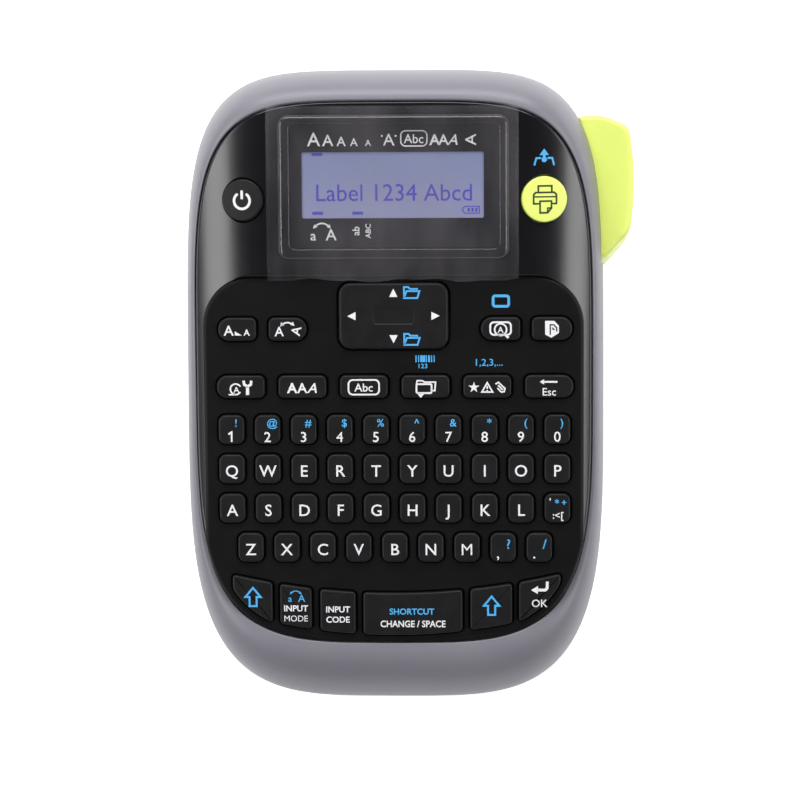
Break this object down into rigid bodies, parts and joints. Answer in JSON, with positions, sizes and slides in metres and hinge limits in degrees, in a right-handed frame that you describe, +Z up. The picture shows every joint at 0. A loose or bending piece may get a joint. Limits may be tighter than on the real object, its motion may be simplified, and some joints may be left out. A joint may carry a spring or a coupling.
{
  "type": "label maker",
  "caption": "Hand-held label maker: tilted keyboard and display on a rounded case, with battery bay, tape cartridge, print mechanism and a side cutter lever.",
  "frame": {"origin": "middle of the flat base between the battery cover and the cartridge cover, on the table", "axes": "+X to the lever side, +Y from the keyboard towards the display, +Z up"},
  "size_m": [0.1264, 0.177, 0.0627],
  "materials": {
    "case_grey": "satin moulded plastic",
    "panel_black": "satin black moulded plastic",
    "frame_black": "gloss black",
    "window_clear": "clear window with a dark printed border",
    "film_clear": "thin clear protective film",
    "lcd_glass": "backlit display glass",
    "board_green": "circuit board",
    "mat_rubber": "silicone rubber",
    "frame_plastic": "dark moulded plastic",
    "cell_wrap": "wrapped steel cell",
    "contact_metal": "nickel plated",
    "inlet_black": "black plastic",
    "head_metal": "machined",
    "roller_rubber": "ground rubber",
    "steel": "bright steel",
    "gear_white": "natural acetal",
    "brass": "turned brass",
    "cartridge_clear": "pale moulded plastic",
    "tape_white": "label tape",
    "ribbon_black": "ink ribbon",
    "lime": "lime gloss plastic",
    "key_black": "matte key plastic"
  },
  "bodies": {
    "root": {"rear_shell": "case_grey", "front_shell": "case_grey", "face_panel": "panel_black", "display_bezel": "frame_black", "display_window": "window_clear", "display_film": "film_clear", "lcd_panel": "lcd_glass", "main_board": "board_green", "keypad_mat": "mat_rubber", "mid_frame": "frame_plastic", "batteries": "cell_wrap", "battery_springs": "contact_metal", "battery_plates": "contact_metal", "dc_jack": "inlet_black", "print_head": "head_metal", "drive_motor": "steel", "cartridge_case": "cartridge_clear", "label_tape": "tape_white", "fixed_blade": "steel", "lever_pin": "steel", "lever_spring": "contact_metal", "case_screws": "steel", "board_screws": "steel"},
    "battery_cover": {"battery_cover": "case_grey"},
    "cartridge_cover": {"cartridge_cover": "case_grey"},
    "platen": {"platen_roller": "roller_rubber", "platen_shaft": "steel", "platen_gear": "gear_white"},
    "idler": {"idler_gear": "gear_white"},
    "pinion": {"motor_pinion": "brass"},
    "ribbon_drive": {"ribbon_spindle": "gear_white", "ribbon_takeup_spool": "ribbon_black"},
    "tape_spool": {"tape_spool": "tape_white"},
    "ribbon_supply": {"ribbon_supply_spool": "ribbon_black"},
    "lever": {"cutter_lever": "lime"},
    "blade": {"cutter_blade": "steel"},
    "power_button": {"power_button": "key_black"},
    "print_button": {"print_button": "lime"},
    "nav_pivot": {"nav_pivot": "mat_rubber"},
    "nav_pad": {"nav_pad": "key_black"},
    "size_key": {"size_key": "key_black"},
    "rotate_key": {"rotate_key": "key_black"},
    "preview_key": {"preview_key": "key_black"},
    "copy_key": {"copy_key": "key_black"},
    "settings_key": {"settings_key": "key_black"},
    "style_key": {"style_key": "key_black"},
    "frame_key": {"frame_key": "key_black"},
    "file_key": {"file_key": "key_black"},
    "symbol_key": {"symbol_key": "key_black"},
    "escape_key": {"escape_key": "key_black"},
    "number_keys": {"number_keys": "key_black"},
    "upper_letter_keys": {"upper_letter_keys": "key_black"},
    "middle_letter_keys": {"middle_letter_keys": "key_black"},
    "lower_letter_keys": {"lower_letter_keys": "key_black"},
    "left_shift_key": {"left_shift_key": "key_black"},
    "case_key": {"case_key": "key_black"},
    "code_key": {"code_key": "key_black"},
    "space_key": {"space_key": "key_black"},
    "right_shift_key": {"right_shift_key": "key_black"},
    "enter_key": {"enter_key": "key_black"}
  },
  "joints": [
    {"name": "battery_cover_open", "type": "hinge", "parent": "root", "child": "battery_cover", "pos_m": [0, -0.0112, 0.0014], "axis": [1, 0, 0], "range_deg": [0, 90]},
    {"name": "cartridge_cover_open", "type": "hinge", "parent": "root", "child": "cartridge_cover", "pos_m": [0, 0.0099, 0.0014], "axis": [-1, 0, 0], "range_deg": [0, 90]},
    {"name": "platen_turn", "type": "hinge", "parent": "root", "child": "platen", "pos_m": [0.03765, 0.067, 0], "axis": [0, 0, 1], "continuous": true},
    {"name": "idler_turn", "type": "hinge", "parent": "root", "child": "idler", "pos_m": [0.02376, 0.06945, 0], "axis": [0, 0, 1], "continuous": true},
    {"name": "pinion_turn", "type": "hinge", "parent": "root", "child": "pinion", "pos_m": [0.01246, 0.07248, 0], "axis": [0, 0, 1], "continuous": true},
    {"name": "ribbon_turn", "type": "hinge", "parent": "root", "child": "ribbon_drive", "pos_m": [0.01958, 0.04571, 0], "axis": [0, 0, 1], "continuous": true},
    {"name": "tape_spool_turn", "type": "hinge", "parent": "root", "child": "tape_spool", "pos_m": [-0.013, 0.0335, 0], "axis": [0, 0, 1], "continuous": true},
    {"name": "ribbon_supply_turn", "type": "hinge", "parent": "root", "child": "ribbon_supply", "pos_m": [0.01958, 0.02472, 0], "axis": [0, 0, 1], "continuous": true},
    {"name": "lever_press", "type": "hinge", "parent": "root", "child": "lever", "pos_m": [0.0505, 0.038, 0], "axis": [0, 0, 1], "range_deg": [0, 9], "stiffness_Nm_per_rad": 1.2, "springref_deg": -3.44},
    {"name": "blade_cut", "type": "slide", "parent": "root", "child": "blade", "axis": [-1, 0, 0], "range_m": [0, 0.0057]},
    {"name": "power_button_press", "type": "slide", "parent": "root", "child": "power_button", "axis": [0.1822, 0.1707, -0.9683], "range_m": [0, 0.0008], "stiffness_N_per_m": 500, "springref_m": -0.0006},
    {"name": "print_button_press", "type": "slide", "parent": "root", "child": "print_button", "axis": [-0.2, 0.1701, -0.9649], "range_m": [0, 0.0008], "stiffness_N_per_m": 500, "springref_m": -0.0006},
    {"name": "nav_rock_near_far", "type": "hinge", "parent": "root", "child": "nav_pivot", "pos_m": [0.00025, 0.01886, 0.04479], "axis": [1, 0, 0], "range_deg": [-3, 3], "stiffness_Nm_per_rad": 0.2},
    {"name": "nav_rock_left_right", "type": "hinge", "parent": "nav_pivot", "child": "nav_pad", "pos_m": [0.00025, 0.01886, 0.04479], "axis": [0, 0.9848, 0.1736], "range_deg": [-3, 3], "stiffness_Nm_per_rad": 0.2},
    {"name": "size_key_press", "type": "slide", "parent": "root", "child": "size_key", "axis": [0, 0.1736, -0.9848], "range_m": [0, 0.0008], "stiffness_N_per_m": 500, "springref_m": -0.0006},
    {"name": "rotate_key_press", "type": "slide", "parent": "root", "child": "rotate_key", "axis": [0, 0.1736, -0.9848], "range_m": [0, 0.0008], "stiffness_N_per_m": 500, "springref_m": -0.0006},
    {"name": "preview_key_press", "type": "slide", "parent": "root", "child": "preview_key", "axis": [0, 0.1736, -0.9848], "range_m": [0, 0.0008], "stiffness_N_per_m": 500, "springref_m": -0.0006},
    {"name": "copy_key_press", "type": "slide", "parent": "root", "child": "copy_key", "axis": [0, 0.1736, -0.9848], "range_m": [0, 0.0008], "stiffness_N_per_m": 500, "springref_m": -0.0006},
    {"name": "settings_key_press", "type": "slide", "parent": "root", "child": "settings_key", "axis": [0, 0.1736, -0.9848], "range_m": [0, 0.0008], "stiffness_N_per_m": 500, "springref_m": -0.0006},
    {"name": "style_key_press", "type": "slide", "parent": "root", "child": "style_key", "axis": [0, 0.1736, -0.9848], "range_m": [0, 0.0008], "stiffness_N_per_m": 500, "springref_m": -0.0006},
    {"name": "frame_key_press", "type": "slide", "parent": "root", "child": "frame_key", "axis": [0, 0.1736, -0.9848], "range_m": [0, 0.0008], "stiffness_N_per_m": 500, "springref_m": -0.0006},
    {"name": "file_key_press", "type": "slide", "parent": "root", "child": "file_key", "axis": [0, 0.1736, -0.9848], "range_m": [0, 0.0008], "stiffness_N_per_m": 500, "springref_m": -0.0006},
    {"name": "symbol_key_press", "type": "slide", "parent": "root", "child": "symbol_key", "axis": [0, 0.1736, -0.9848], "range_m": [0, 0.0008], "stiffness_N_per_m": 500, "springref_m": -0.0006},
    {"name": "escape_key_press", "type": "slide", "parent": "root", "child": "escape_key", "axis": [0, 0.1736, -0.9848], "range_m": [0, 0.0008], "stiffness_N_per_m": 500, "springref_m": -0.0006},
    {"name": "number_keys_press", "type": "slide", "parent": "root", "child": "number_keys", "axis": [0, 0.1736, -0.9848], "range_m": [0, 0.0008], "stiffness_N_per_m": 500, "springref_m": -0.0006},
    {"name": "upper_letter_keys_press", "type": "slide", "parent": "root", "child": "upper_letter_keys", "axis": [0, 0.1736, -0.9848], "range_m": [0, 0.0008], "stiffness_N_per_m": 500, "springref_m": -0.0006},
    {"name": "middle_letter_keys_press", "type": "slide", "parent": "root", "child": "middle_letter_keys", "axis": [0, 0.1736, -0.9848], "range_m": [0, 0.0008], "stiffness_N_per_m": 500, "springref_m": -0.0006},
    {"name": "lower_letter_keys_press", "type": "slide", "parent": "root", "child": "lower_letter_keys", "axis": [0, 0.1736, -0.9848], "range_m": [0, 0.0008], "stiffness_N_per_m": 500, "springref_m": -0.0006},
    {"name": "left_shift_key_press", "type": "slide", "parent": "root", "child": "left_shift_key", "axis": [0, 0.1736, -0.9848], "range_m": [0, 0.0008], "stiffness_N_per_m": 500, "springref_m": -0.0006},
    {"name": "case_key_press", "type": "slide", "parent": "root", "child": "case_key", "axis": [0, 0.1736, -0.9848], "range_m": [0, 0.0008], "stiffness_N_per_m": 500, "springref_m": -0.0006},
    {"name": "code_key_press", "type": "slide", "parent": "root", "child": "code_key", "axis": [0, 0.1736, -0.9848], "range_m": [0, 0.0008], "stiffness_N_per_m": 500, "springref_m": -0.0006},
    {"name": "space_key_press", "type": "slide", "parent": "root", "child": "space_key", "axis": [0, 0.1736, -0.9848], "range_m": [0, 0.0008], "stiffness_N_per_m": 500, "springref_m": -0.0006},
    {"name": "right_shift_key_press", "type": "slide", "parent": "root", "child": "right_shift_key", "axis": [0, 0.1736, -0.9848], "range_m": [0, 0.0008], "stiffness_N_per_m": 500, "springref_m": -0.0006},
    {"name": "enter_key_press", "type": "slide", "parent": "root", "child": "enter_key", "axis": [0, 0.1736, -0.9848], "range_m": [0, 0.0008], "stiffness_N_per_m": 500, "springref_m": -0.0006}
  ],
  "couplings": [
    {"joint": "pinion_turn", "follows": "tape_spool_turn", "ratio": 5.5556},
    {"joint": "platen_turn", "follows": "tape_spool_turn", "ratio": 3.3333},
    {"joint": "idler_turn", "follows": "tape_spool_turn", "ratio": -2.5},
    {"joint": "ribbon_turn", "follows": "tape_spool_turn", "ratio": 1.25},
    {"joint": "ribbon_supply_turn", "follows": "tape_spool_turn", "ratio": 1.2},
    {"joint": "blade_cut", "follows": "lever_press", "m_per_rad": 0.036}
  ]
}
